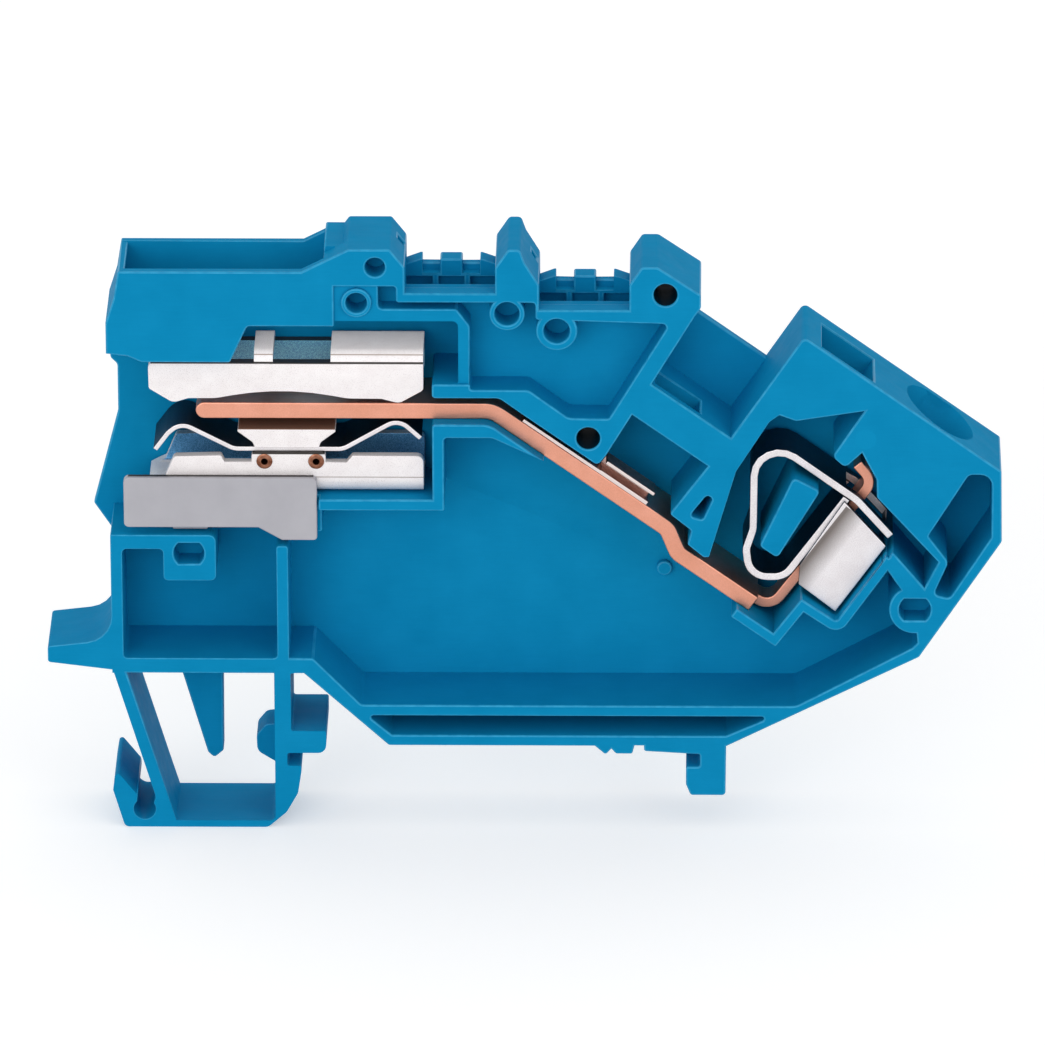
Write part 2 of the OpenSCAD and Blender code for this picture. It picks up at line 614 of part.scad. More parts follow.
// Jumper contact: a long leaf on the bar and a short one over it, joined by a web at the back
leaf_u = [10.6, 15.6];         // both ends of the short leaf
leaf_rise = 1.05;              // from the bar to the underside of the short leaf
leaf_seat = bar_t / 2;         // underside of the long leaf, on the bar
mouth_low = contact_t + 0.05;  // lower side of the mouth over the bar

module jumper_contact()
    color(copper) difference() {
        slab(bar_inset, bar_inset + contact_w)
            outline(incline([[2.6, leaf_seat], [leaf_u[1], leaf_seat],
                             [leaf_u[1], leaf_seat + leaf_rise + contact_t],
                             [leaf_u[0], leaf_seat + leaf_rise + contact_t],
                             [leaf_u[0], leaf_seat + contact_t], [2.6, leaf_seat + contact_t]]));
        // Mouth between the leaves, open to the front and at both ends
        slab(bar_inset - 1, bar_inset + contact_w - contact_t)
            outline(incline([[leaf_u[0] - 1, leaf_seat + mouth_low], [leaf_u[1] + 1, leaf_seat + mouth_low],
                             [leaf_u[1] + 1, leaf_seat + leaf_rise],
                             [leaf_u[0] - 1, leaf_seat + leaf_rise]]));
    }

// Disconnect slide

// Extrudes a Y-Z section along X from one end to the other
module across(left, right)
    translate([left, 0, 0]) rotate([90, 0, 90]) linear_extrude(right - left) children();

// Y-Z section of a bent sheet: cheeks joined by a web at one height, side 1 opens up and -1 down
module channel(web_z, side, r) {
    low = jaw_d0 - block_t / 2;
    high = jaw_d1 - block_t / 2;
    in_r = max(r - jaw_t, 0.05);
    difference() {
        outline([[low, web_z, r], [high, web_z, r], [high, web_z + side * block_t],
                 [low, web_z + side * block_t]]);
        outline([[low + jaw_t, web_z + side * jaw_t, in_r], [high - jaw_t, web_z + side * jaw_t, in_r],
                 [high - jaw_t, web_z + side * 2 * block_t], [low + jaw_t, web_z + side * 2 * block_t]]);
    }
}

// Cheek of the upper jaw: contact bumps at both ends, arch between
jaw_cheek = [[-jaw_left, upper_jaw_top, 0.5], [-jaw_left + 0.05, upper_jaw_z + 1.3, 0.3],
             [-27.1, upper_jaw_z, 0.9], [-25.8, upper_jaw_z + 0.42, 0.5], [-23.5, upper_jaw_z + 0.42, 5],
             [-17.9, upper_jaw_z + 1.5, 23], [-12.3, upper_jaw_z + 0.42, 5], [-9.4, upper_jaw_z + 0.4, 0.5],
             [-7.9, upper_jaw_z, 0.9], [-jaw_right, upper_jaw_z + 1.2, 0.4], [-jaw_right, upper_jaw_top]];
tabs = [[-20.2, -18.6], [-13.7, -jaw_right]];
tab_r = 1.1;        // bend radius of the tabs over the upper jaw
web_r = 1.3;        // bend radius along the lower jaw's underside

module upper_jaw()
    color(silver) {
        difference() {
            union() {
                slab(jaw_d0, jaw_d0 + jaw_t) outline(jaw_cheek);
                slab(jaw_d1 - jaw_t, jaw_d1) outline(jaw_cheek);
            }
            for (t = tabs)
                across(t[0], t[1])
                    translate([-block_t, tab_top - tab_r]) square([2 * block_t, block_t]);
        }
        for (t = tabs)
            across(t[0], t[1]) intersection() {
                channel(tab_top, -1, tab_r);
                translate([-block_t, tab_top - tab_r]) square([2 * block_t, tab_r]);
            }
    }

// Cheek of the lower jaw, with a raised middle for the rivets
lower_cheek = [[-28, lower_jaw_z + 1.2], [-27.1, lower_jaw_top - 0.4, 0.4], [-23.1, lower_jaw_top - 0.3, 0.2],
               [-22.8, lower_jaw_top - 0.9], [-20.5, lower_jaw_top - 0.9], [-20.5, lower_jaw_top, 0.4],
               [-14.2, lower_jaw_top, 0.4], [-14.2, lower_jaw_top - 0.9], [-12.4, lower_jaw_top - 0.9],
               [-11.9, lower_jaw_top - 0.3, 0.2], [-jaw_right, lower_jaw_top - 0.3, 0.6],
               [-jaw_right, lower_jaw_z], [-29.3, lower_jaw_z], [-29.3, lower_jaw_z + 0.6]];
rivets = [[-19.4, lower_jaw_top - 0.8], [-15, lower_jaw_top - 0.8]];

module lower_jaw()
    color(silver) difference() {
        intersection() {
            slab(jaw_d0, jaw_d1) outline(lower_cheek);
            across(-jaw_left - 1, 0) channel(lower_jaw_z, 1, web_r);
        }
        for (at = rivets) round_bar(at, rivet_r + 0.05, -1, block_t);
    }

// Tubular rivet through both cheeks of the lower jaw, with a rolled head in front
module rivet(at) {
    head_h = 0.12;
    difference() {
        union() {
            round_bar(at, rivet_r, jaw_d0 - head_h, jaw_d1);
            round_bar(at, rivet_r + 0.18, jaw_d0 - head_h, jaw_d0);
        }
        round_bar(at, rivet_r - 0.2, -1, block_t);
    }
}

module left_rivet() color(copper) rivet(rivets[0]);

module right_rivet() color(copper) rivet(rivets[1]);

leaf_line = [[-28.7, leaf_z - 0.1], [-27.6, leaf_z + 1.4, 1], [-26.5, leaf_hump - 0.1, 1.4],
             [-22, leaf_z, 1.6], [-12.7, leaf_z, 1.6], [-8, leaf_hump + 0.28, 1.4], [-6.1, leaf_z + 1]];

module jaw_spring() color(steel) slab(jaw_d0 + 0.3, jaw_d1 - 0.3) band(leaf_line, -leaf_t / 2, leaf_t / 2);

module spring_saddle()
    color(silver)
        slab(jaw_d0, jaw_d1)
            outline([[-20.2, leaf_z + leaf_t / 2], [-20.4, leaf_z + leaf_t / 2 + 0.5, 0.5],
                     [-21.7, leaf_z + leaf_t / 2 + 1.5], [-21.6, leaf_z + leaf_t / 2 + 1.75],
                     [-13.4, leaf_z + leaf_t / 2 + 1.75], [-13.3, leaf_z + leaf_t / 2 + 1.5],
                     [-14.6, leaf_z + leaf_t / 2 + 0.5, 0.5], [-14.75, leaf_z + leaf_t / 2]]);

module slide_shoe()
    color(grey) {
        // Front skirt with the stop ramp
        slab(shoe_d, shoe_d + shoe_t)
            outline([[-31.4, 20.85, 0.4], [stop_x - 1.5, 20.85], [stop_x + 0.5, 19.7, 0.3],
                     [-shoe_right, 19.7, 0.3], [-shoe_right, 25.4, 0.4], [-31.4, 25.4, 0.5]]);
        // Carrier under the lower jaw and the runner on the shelf
        slab(shoe_d + shoe_t, jaw_d1 - 0.6)
            outline([[-28, 21.2], [-16, 21.2], [-16, lower_jaw_z], [-28, lower_jaw_z]]);
        slab(shoe_d + shoe_t, jaw_d1 - 0.6)
            outline([[-27.3, shelf_z + slide_clear], [-24.3, shelf_z + slide_clear], [-24.3, 21.4],
                     [-27.3, 21.4]]);
    }

housing();
current_bar();
clamp_spring();
jumper_contact();
upper_jaw();
lower_jaw();
jaw_spring();
spring_saddle();
left_rivet();
right_rivet();
slide_shoe();
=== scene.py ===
"""Looks of a disconnect terminal block: softened pieces, finishes, stage, light and camera.

All sizes are in metres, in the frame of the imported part: X along the block, Y through it, Z up.
"""

import math

import bmesh
import bpy
import numpy as np
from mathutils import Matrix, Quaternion, Vector


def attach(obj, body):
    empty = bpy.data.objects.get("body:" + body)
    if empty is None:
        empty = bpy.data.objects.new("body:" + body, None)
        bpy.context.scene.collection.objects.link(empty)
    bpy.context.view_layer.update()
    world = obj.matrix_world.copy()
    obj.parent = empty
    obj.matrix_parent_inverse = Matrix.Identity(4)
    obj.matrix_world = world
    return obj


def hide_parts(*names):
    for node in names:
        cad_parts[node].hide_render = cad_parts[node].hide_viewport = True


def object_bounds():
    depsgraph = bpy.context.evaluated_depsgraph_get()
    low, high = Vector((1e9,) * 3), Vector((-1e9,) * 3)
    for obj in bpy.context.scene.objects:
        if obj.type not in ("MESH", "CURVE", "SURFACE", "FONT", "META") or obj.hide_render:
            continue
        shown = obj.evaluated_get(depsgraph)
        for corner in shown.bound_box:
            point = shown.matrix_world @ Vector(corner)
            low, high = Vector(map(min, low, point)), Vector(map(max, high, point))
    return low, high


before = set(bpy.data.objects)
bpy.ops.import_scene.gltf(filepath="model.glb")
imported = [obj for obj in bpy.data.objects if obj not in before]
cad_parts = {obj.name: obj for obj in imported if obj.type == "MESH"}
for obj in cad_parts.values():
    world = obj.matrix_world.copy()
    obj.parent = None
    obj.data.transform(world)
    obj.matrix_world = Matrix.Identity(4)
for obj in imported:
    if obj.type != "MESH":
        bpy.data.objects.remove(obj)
cad_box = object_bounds()

MM = 0.001

# Bend from which an edge counts as sharp, and bend under which two triangles count as one face
SHARP = math.radians(30)
FLAT = math.radians(0.6)

# Body that each node rides on, and its slot
PLACES = {
    "housing": ("block", "blue_polyamide"),
    "current_bar": ("block", "copper"),
    "clamp_spring": ("block", "spring_steel"),
    "jumper_contact": ("block", "copper"),
    "upper_jaw": ("slide", "silver_plate"),
    "lower_jaw": ("slide", "silver_plate"),
    "jaw_spring": ("slide", "spring_steel"),
    "spring_saddle": ("slide", "silver_plate"),
    "left_rivet": ("slide", "copper"),
    "right_rivet": ("slide", "copper"),
    "slide_shoe": ("slide", "grey_plastic"),
}


def top_of(node):
    """Height of the highest point of a node."""
    return max(v.co.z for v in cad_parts[node].data.vertices)


# Inclined frame of the clamp: its slope, and the height of the bar where it begins
SIN, COS = math.sin(math.radians(36)), math.cos(math.radians(36))
BAR_Z = 31.15 * MM

# The clamp spring's flap in the inclined frame: its left side, the stretch painted in shade towards its bend,
# and its top
FLAP_LEFT = 29.4 * MM
FLAP_SHADE = (29.7 * MM, 31.5 * MM)
FLAP_TOP = 10.65 * MM

# Axes of the two locating holes, through the block along Y, and their radius with a hair's breadth round it,
# inside which they are painted in shade
LOCATING_HOLES = [(14.7 * MM, 0, 42.3 * MM), (8.15 * MM, 0, 29.2 * MM)]
HOLE_SHADE_RADIUS = 1.005 * MM

# Round mark that an ejector pin left beside the tongue
EJECTOR_MARK = (31.7 * MM, -4 * MM, 29.2 * MM)
EJECTOR_RADIUS = 0.86 * MM

# Painted dark lines and faces along the plated pieces: shade in their folds, gaps and bends, and a brown
# reflection of the copper bar along the saddle's top; height, half width and colour of each
PAINTED_SHADE_BLACK = (0.025, 0.020, 0.017)
PAINTED_PLATE_LINES = [
    (top_of("upper_jaw") - 0.90 * MM, 0.08 * MM, PAINTED_SHADE_BLACK),
    (top_of("upper_jaw") - 0.28 * MM, 0.02 * MM, (0.36, 0.28, 0.23)),
    # Painted reflection of the copper bar on the saddle's top
    (top_of("spring_saddle"), 0.05 * MM, (0.20, 0.105, 0.07)),
    (top_of("lower_jaw") - 0.03 * MM, 0.13 * MM, PAINTED_SHADE_BLACK),
    (top_of("lower_jaw") - 2.25 * MM, 0.02 * MM, (0.30, 0.24, 0.21)),
]


# How far the normals of the upper jaw's tabs lean to the open side
TAB_LEAN = (0, -3.2, 0)


def new_node(tree, kind, inputs=None, **attributes):
    """A node in a tree, with its attributes set and its inputs linked or filled in."""
    node = tree.nodes.new(kind)
    for key, value in attributes.items():
        setattr(node, key, value)
    for key, value in (inputs or {}).items():
        if isinstance(value, bpy.types.NodeSocket):
            tree.links.new(value, node.inputs[key])
        else:
            node.inputs[key].default_value = value
    return node


def placed(name, data):
    """An object of this name in the scene, at the origin."""
    thing = bpy.data.objects.new(name, data)
    bpy.context.scene.collection.objects.link(thing)
    return thing


# Finishes

class Finish:
    """A material under construction: node tree, shader, and the Object coordinates and normals it reads."""

    def __init__(self, name, **settings):
        self.material = bpy.data.materials.new(name)
        self.material.use_nodes = True
        self.tree = self.material.node_tree
        self.shader = self.tree.nodes["Principled BSDF"]
        coordinates = self.add("ShaderNodeTexCoord").outputs
        self.place, self.normal = coordinates["Object"], coordinates["Normal"]
        for socket, value in settings.items():
            self.shader.inputs[socket.replace("_", " ")].default_value = value

    def add(self, kind, inputs=None, **attributes):
        return new_node(self.tree, kind, inputs, **attributes)

    def math(self, operation, *values):
        return self.add("ShaderNodeMath", dict(enumerate(values)), operation=operation).outputs[0]

    def vector(self, operation, *values, result="Vector"):
        return self.add("ShaderNodeVectorMath", dict(enumerate(values)), operation=operation).outputs[result]

    def noise(self, size, stretch=(1, 1, 1), detail=3):
        """Noise whose blotches are about size across, drawn out along an axis by stretch."""
        mapping = self.add("ShaderNodeMapping", {"Vector": self.place})
        mapping.inputs["Scale"].default_value = [1 / (size * s) for s in stretch]
        texture = self.add("ShaderNodeTexNoise", {"Vector": mapping.outputs["Vector"], "Scale": 1,
                                                  "Detail": detail, "Roughness": 0.55})
        return texture.outputs["Fac"]

    def between(self, fac, low, high, start=0.3, end=0.7):
        """A number that runs from low to high as fac runs from start to end."""
        node = self.add("ShaderNodeMapRange", {"Value": fac, "From Min": start, "From Max": end,
                                               "To Min": low, "To Max": high})
        return node.outputs["Result"]

    def within(self, fac, limit, soft):
        """1 up to a limit, then falling to 0 over a soft stretch."""
        return self.between(fac, 1, 0, limit, limit + soft)

    def beyond(self, fac, limit, soft):
        """0 up to a limit, then rising to 1 over a soft stretch."""
        return self.between(fac, 0, 1, limit, limit + soft)

    def tint(self, fac, low, high, start=0.3, end=0.7):
        """A colour that runs from low to high as fac runs from start to end."""
        ramp = self.add("ShaderNodeValToRGB", {"Fac": fac})
        for element, at, colour in zip(ramp.color_ramp.elements, (start, end), (low, high)):
            element.position = at
            element.color = (*colour, 1)
        return ramp.outputs["Color"]

    def blend(self, share, first, second, blend_type="MIX"):
        """A colour that goes from the first to the second one with share."""
        node = self.add("ShaderNodeMix", data_type="RGBA", blend_type=blend_type)
        places = [next(s for s in node.inputs if s.identifier == key)
                  for key in ("Factor_Float", "A_Color", "B_Color")]
        for place, value in zip(places, (share, first, second)):
            if isinstance(value, bpy.types.NodeSocket):
                self.tree.links.new(value, place)
            else:
                place.default_value = value if place.type == "VALUE" else (*value, 1)
        return next(s for s in node.outputs if s.identifier == "Result_Color")

    def multiply(self, first, second):
        """The product of two colours."""
        return self.blend(1, first, second, "MULTIPLY")

    def along(self, direction, start=0):
        """How far a point lies along a direction, beyond a start."""
        return self.math("SUBTRACT", self.vector("DOT_PRODUCT", self.place, direction, result="Value"), start)

    def facing(self, direction=(0, -1, 0)):
        """1 on faces that look along a direction, by default out of the open side, -1 on opposite ones."""
        return self.vector("DOT_PRODUCT", self.normal, direction, result="Value")

    def cut_edge(self):
        """1 on the edges of a strip that lie square to Y, 0 on its wide faces."""
        return self.beyond(self.math("ABSOLUTE", self.facing()), 0.5, 0.3)

    def relief(self, fac, height, below=None):
        """Bump of this height from fac, on top of another one."""
        node = self.add("ShaderNodeBump", {"Height": fac, "Distance": height, "Strength": 1})
        if below:
            self.tree.links.new(below, node.inputs["Normal"])
        return node.outputs["Normal"]

    def finish(self, **sockets):
        """Links the shader's sockets and hands over the material."""
        for socket, value in sockets.items():
            self.tree.links.new(value, self.shader.inputs[socket.replace("_", " ")])
        return self.material


def blue_polyamide():
    """Satin moulded plastic with flow lines and fine scuffs, and painted shade inside the locating holes."""
    f = Finish("blue_polyamide", Specular_IOR_Level=0.012)
    cloud = f.noise(4 * MM, detail=4)
    grain = f.noise(0.12 * MM, detail=2)
    flow = f.noise(1.2 * MM, stretch=(4, 1, 1))
    scuff = f.noise(0.16 * MM, stretch=(16, 1, 1))
    colour = f.multiply(f.tint(cloud, (0.0030, 0.232, 0.458), (0.0045, 0.256, 0.498)),
                        f.tint(scuff, (0.90, 0.95, 0.96), (1, 1, 1)))
    mark = f.vector("DISTANCE", f.place, EJECTOR_MARK, result="Value")
    colour = f.blend(f.within(mark, EJECTOR_RADIUS, 0.08 * MM), colour, (0.004, 0.252, 0.490))
    # Painted shade: the locating holes are painted near black inside, for the deep shadow in them
    front_place = f.vector("MULTIPLY", f.place, (1, 0, 1))
    for hole in LOCATING_HOLES:
        away = f.vector("DISTANCE", front_place, hole, result="Value")
        colour = f.blend(f.within(away, HOLE_SHADE_RADIUS, 0.01 * MM), colour, (0.001, 0.020, 0.040))
    rough = f.between(flow, 0.40, 0.52)
    bump = f.relief(grain, 0.004 * MM, f.relief(flow, 0.006 * MM))
    return f.finish(Base_Color=colour, Roughness=rough, Normal=bump)


def blue_edge_highlight():
    """The same plastic on the rounded edges, smoother, and paler as a painted highlight."""
    f = Finish("blue_edge_highlight", Specular_IOR_Level=0.2)
    highlight_patches = f.noise(0.8 * MM, detail=4)
    grain = f.noise(0.12 * MM, detail=2)
    # Painted highlight: the edges are painted paler than the faces, in broken patches
    colour = f.tint(highlight_patches, (0.005, 0.250, 0.485), (0.024, 0.345, 0.600))
    rough = f.between(highlight_patches, 0.28, 0.40)
    bump = f.relief(grain, 0.002 * MM)
    return f.finish(Base_Color=colour, Roughness=rough, Normal=bump)


def bright_copper():
    """Clean drawn copper with streaks along the bar."""
    f = Finish("bright_copper", Metallic=1)
    cloud = f.noise(2.5 * MM, detail=4)
    streak = f.noise(0.16 * MM, stretch=(14, 1, 1))
    grain = f.noise(0.08 * MM)
    colour = f.multiply(f.tint(cloud, (0.84, 0.375, 0.255), (0.92, 0.43, 0.31)),
                        f.tint(grain, (0.88, 0.86, 0.84), (1, 1, 1)))
    rough = f.between(streak, 0.34, 0.48)
    bump = f.relief(streak, 0.003 * MM, f.relief(grain, 0.003 * MM))
    return f.finish(Base_Color=colour, Roughness=rough, Normal=bump)


def rivet_copper():
    """Tarnished copper, brown all over and blotched."""
    f = Finish("rivet_copper", Metallic=1)
    cloud = f.noise(0.4 * MM, detail=4)
    grain = f.noise(0.06 * MM)
    colour = f.tint(cloud, (0.17, 0.062, 0.034), (0.42, 0.19, 0.12))
    rough = f.between(grain, 0.30, 0.45)
    bump = f.relief(grain, 0.002 * MM)
    return f.finish(Base_Color=colour, Roughness=rough, Normal=bump)


def tinned_copper():
    """Brown copper strip whose cut edges are bright."""
    f = Finish("tinned_copper", Metallic=1)
    cloud = f.noise(0.5 * MM, detail=4)
    grain = f.noise(0.06 * MM)
    brown = f.tint(cloud, (0.34, 0.14, 0.09), (0.55, 0.25, 0.17))
    colour = f.blend(f.cut_edge(), brown, (0.85, 0.74, 0.71))
    rough = f.between(grain, 0.32, 0.46)
    bump = f.relief(grain, 0.002 * MM)
    return f.finish(Base_Color=colour, Roughness=rough, Normal=bump)


def silver_plate():
    """Plated sheet with painted shade along its folds and seams, and a painted blue reflection on the faces
    that look out from the depth of the block.
    """
    f = Finish("silver_plate")
    cloud = f.noise(1.6 * MM, detail=4)
    orange_peel = f.noise(0.2 * MM)
    speck = f.noise(0.07 * MM, detail=1)
    bright = f.multiply(f.tint(cloud, (0.88, 0.83, 0.83), (0.95, 0.91, 0.91)),
                        f.tint(speck, (0.74, 0.72, 0.72), (1, 1, 1), 0.28, 0.44))
    # Painted shade in the folds, gaps and bends, and the painted reflection on the saddle's top
    for height, half, colour in PAINTED_PLATE_LINES:
        off = f.math("ABSOLUTE", f.along((0, 0, 1), height))
        bright = f.blend(f.within(off, half, 0.03 * MM), bright, colour)
    # Painted reflection: the inner faces are painted blue, as the housing mirrored in them, and paler on the
    # jaw above the bar
    above = f.beyond(f.along((0, 0, 1), BAR_Z), 2 * MM, 1 * MM)
    painted_reflection = f.blend(above, f.tint(speck, (0.05, 0.19, 0.38), (0.18, 0.48, 0.80)),
                   f.tint(speck, (0.09, 0.34, 0.66), (0.34, 0.85, 1.0)))
    deep = f.beyond(f.along((0, 1, 0)), 0.2 * MM, 0.7 * MM)
    inner = f.math("MULTIPLY", deep, f.beyond(f.facing(), 0.5, 0.3))
    colour = f.blend(inner, bright, painted_reflection)
    metal = f.between(inner, 0.2, 1, 0, 1)
    rough = f.between(orange_peel, 0.42, 0.55)
    # The tabs over the bar are shaded as if crowned, so that they catch the light from the open side
    upper = f.beyond(f.along((0, 0, 1), top_of("upper_jaw")), -0.7 * MM, 0.4 * MM)
    crown = f.math("MULTIPLY", f.beyond(f.facing((0, 0, 1)), 0.3, 0.6), upper)
    lean = f.add("ShaderNodeVectorMath", {0: TAB_LEAN, "Scale": crown}, operation="SCALE").outputs["Vector"]
    bump = f.vector("NORMALIZE", f.vector("ADD", f.relief(orange_peel, 0.005 * MM), lean))
    return f.finish(Base_Color=colour, Metallic=metal, Roughness=rough, Normal=bump)


def spring_steel():
    """Rolled strip with its wide faces painted near black for the shade they lie in, bright cut edges, and a
    bright flap with painted shade towards the bend.
    """
    f = Finish("spring_steel", Metallic=1)
    cloud = f.noise(2 * MM)
    speck = f.noise(0.09 * MM, detail=2)
    bright = f.multiply(f.tint(cloud, (0.90, 0.86, 0.87), (0.99, 0.96, 0.97)),
                        f.tint(speck, (0.82, 0.80, 0.81), (1, 1, 1)))
    across = f.along((COS, 0, -SIN), -BAR_Z * SIN)
    height = f.along((SIN, 0, COS), BAR_Z * COS)
    bend = f.between(across, 0.16, 1, *FLAP_SHADE)
    past = f.beyond(height, FLAP_TOP, 0.1 * MM)
    before = f.within(across, FLAP_LEFT, 0.06 * MM)
    lit = f.math("MAXIMUM", f.math("MAXIMUM", past, before), bend)
    # Painted shade: the flap is painted dark brown towards its bend
    bright = f.blend(lit, (0.10, 0.075, 0.06), bright)
    # Painted shade: the strip's wide faces are painted near black, for the shadow they lie in; the faces
    # square to Y keep the bright steel
    colour = f.blend(f.cut_edge(), (0.035, 0.05, 0.075), bright)
    rough = f.between(speck, 0.36, 0.50)
    bump = f.relief(speck, 0.0015 * MM)
    return f.finish(Base_Color=colour, Roughness=rough, Normal=bump)


def grey_plastic():
    """Grey plastic, painted near black along the back of its top, for the shade in the gap under the plated
    jaw that rests on it.
    """
    f = Finish("grey_plastic", Specular_IOR_Level=0.25)
    cloud = f.noise(3 * MM, detail=4)
    grain = f.noise(0.15 * MM)
    colour = f.tint(cloud, (0.405, 0.40, 0.435), (0.445, 0.44, 0.475))
    # Painted shade: the back of the top face is painted near black, for the shadow in the gap under the
    # plated jaw
    top = f.beyond(f.along((0, 0, 1), top_of("slide_shoe")), -0.03 * MM, 0.02 * MM)
    gap_shade = f.math("MULTIPLY", top, f.beyond(f.along((0, 1, 0)), -3.6 * MM, 0.2 * MM))
    colour = f.blend(gap_shade, colour, (0.03, 0.025, 0.025))
    rough = f.between(grain, 0.45, 0.60)
    bump = f.relief(grain, 0.006 * MM)
    return f.finish(Base_Color=colour, Roughness=rough, Normal=bump)


# Pieces: each part of the block with its edges softened, as moulding and stamping leave them

# How roundings give way where they crowd each other: the tries, how far round a crowded place they are eased
# and round a known fold they aren't, both in widths, the share that each easing keeps, and the least share,
# under which an edge stays sharp
EASE_ROUNDS = 8
EASE_REACH = 2.2
KNOWN_REACH = 2
EASE_KEEPS = 0.6
EASE_LEAST = 0.2

# What counts as a fold in an outline, in millimetres: cosine of the turn, least product of the two sides, and
# the gap under which the two sides are a closed slit
FOLD_COSINE = -0.995
FOLD_SIDES = 0.5
SLIT_GAP = 1e-3


def merged_copy(node):
    """The node's mesh with its triangles joined into whole faces."""
    shape = bmesh.new()
    shape.from_mesh(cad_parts[node].data)
    bmesh.ops.remove_doubles(shape, verts=shape.verts, dist=0.001 * MM)
    bmesh.ops.dissolve_limit(shape, angle_limit=FLAT, verts=shape.verts, edges=shape.edges)
    return shape


def weigh_edges(shape):
    """Gives each outer edge the full rounding, and returns the smooth run of edges that each one is in."""
    weight = shape.edges.layers.float.new("bevel_weight_edge")
    for edge in shape.edges:
        edge.smooth = edge.calc_face_angle(0) < SHARP
        edge[weight] = float(not edge.smooth and edge.is_convex)
    shape.edges.index_update()
    run = list(range(len(shape.edges)))

    def first(index):
        while run[index] != index:
            index = run[index]
        return index

    for corner in shape.verts:
        pair = [edge for edge in corner.link_edges if edge[weight]]
        if len(pair) == 2:
            one, other = (edge.other_vert(corner).co - corner.co for edge in pair)
            if math.pi - one.angle(other) < SHARP:
                run[first(pair[0].index)] = first(pair[1].index)
    return np.array([first(index) for index in run])


def folds(step):
    """Which corners of an outline double back between two long sides, given as steps."""
    before = np.roll(step, 1, axis=0)
    sides = np.linalg.norm(step, axis=1) * np.linalg.norm(before, axis=1)
    slit = np.linalg.norm(step + before, axis=1) < SLIT_GAP
    return ((step * before).sum(1) < FOLD_COSINE * sides) & (sides > FOLD_SIDES) & ~slit


def cross(a, b):
    """How far each flat vector of one list turns to the left into that of another, times both lengths."""
    return a[:, 0] * b[:, 1] - a[:, 1] * b[:, 0]


def crossings(flat, step):
    """The sides of an outline that cross a later one, and the share of each at which they do."""
    parallel = 1e-12
    half_side = 0.499
    last = len(flat) - 1
    i, j = np.triu_indices(len(flat), 2)
    apart = (i > 0) | (j < last)
    i, j = i[apart], j[apart]
    turn = cross(step[i], step[j])
    turn = np.where(np.abs(turn) < parallel, parallel, turn)
    s = cross(flat[j] - flat[i], step[j]) / turn
    t = cross(flat[j] - flat[i], step[i]) / turn
    inside = (np.abs(s - 0.5) < half_side) & (np.abs(t - 0.5) < half_side)
    return i[inside], s[inside]


def crowded_points(mesh):
    """Where a face's outline crosses itself or folds back, because the roundings beside it leave no room."""
    points = np.array([v.co for v in mesh.vertices])
    crowded = []
    for face in mesh.polygons:
        if face.loop_total < 4:
            continue
        across = face.normal.orthogonal().normalized()
        along = face.normal.cross(across)
        ring = points[list(face.vertices)]
        nexts = np.roll(ring, -1, axis=0)
        flat = ring @ np.array([across, along]).T / MM
        step = np.roll(flat, -1, axis=0) - flat
        crowded.extend(ring[folds(step)])
        for side, share in zip(*crossings(flat, step)):
            crowded.append(ring[side] + (nexts[side] - ring[side]) * share)
    return crowded


def turned_points(mesh):
    """The middle of the shortest side of each triangle that faces against its own face."""
    least_area = 1e-4 * MM * MM
    against = -0.5
    turned = []
    mesh.calc_loop_triangles()
    for triangle in mesh.loop_triangles:
        face = mesh.polygons[triangle.polygon_index]
        if triangle.area > least_area and triangle.normal.dot(face.normal) < against:
            corners = np.array([mesh.vertices[v].co for v in triangle.vertices])
            side = np.linalg.norm(np.roll(corners, -1, axis=0) - corners, axis=1).argmin()
            turned.append((corners[side] + corners[(side + 1) % 3]) / 2)
    return turned


def ease_crowded_edges(piece, runs, width):
    """Makes the rounding of whole runs smaller near each crowded place, round by round while any is left."""
    mesh = piece.data
    ends = np.array([[mesh.vertices[v].co for v in edge.vertices] for edge in mesh.edges])
    start, reach = ends[:, 0], ends[:, 1] - ends[:, 0]
    weights = mesh.attributes["bevel_weight_edge"].data
    values = np.zeros(len(mesh.edges), np.float32)
    weights.foreach_get("value", values)
    # Folds that the sharp mesh has already are no fault of the rounding
    known = crowded_points(mesh)
    for _ in range(EASE_ROUNDS):
        rounded = piece.evaluated_get(bpy.context.evaluated_depsgraph_get()).to_mesh()
        crowded = [point for point in crowded_points(rounded)
                   if all(np.linalg.norm(point - fold) > KNOWN_REACH * width for fold in known)]
        crowded += turned_points(rounded)
        if not crowded:
            break
        for point in crowded:
            share = np.clip(((point - start) * reach).sum(1) / (reach * reach).sum(1), 0, 1)
            near = np.linalg.norm(start + reach * share[:, None] - point, axis=1) < EASE_REACH * width
            values[np.isin(runs, runs[near & (values > 0)])] *= EASE_KEEPS
        values[values < EASE_LEAST] = 0
        weights.foreach_set("value", values)
        mesh.update()


def dress(piece, node):
    """Makes a finished piece stand for a node of the part."""
    body, slot = PLACES[node]
    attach(piece, body)
    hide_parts(node)


def softened(node, material, width, segments=2, edge_material=None):
    """A piece that stands for a node, outer edges rounded by width and, if given, in another material."""
    shape = merged_copy(node)
    runs = weigh_edges(shape)
    for face in shape.faces:
        face.smooth = True
    mesh = bpy.data.meshes.new(node + "_piece")
    shape.to_mesh(mesh)
    shape.free()
    piece = placed(node + "_piece", mesh)
    mesh.materials.append(material)
    edge = piece.modifiers.new("edges", "BEVEL")
    if edge_material:
        mesh.materials.append(edge_material)
        edge.material = 1
    edge.limit_method = "WEIGHT"
    edge.width = width
    edge.segments = segments
    edge.use_clamp_overlap = False
    edge.harden_normals = True
    edge.loop_slide = False
    ease_crowded_edges(piece, runs, width)
    dress(piece, node)


# Tubular rivets: a tube with a rolled head, turned round an axis along Y

# Height of the rolled head, and the sides of the turned forms and of the roll's own section
ROLL_HEIGHT = 0.12 * MM
TURNED_SIDES = 48
ROLL_SIDES = 16


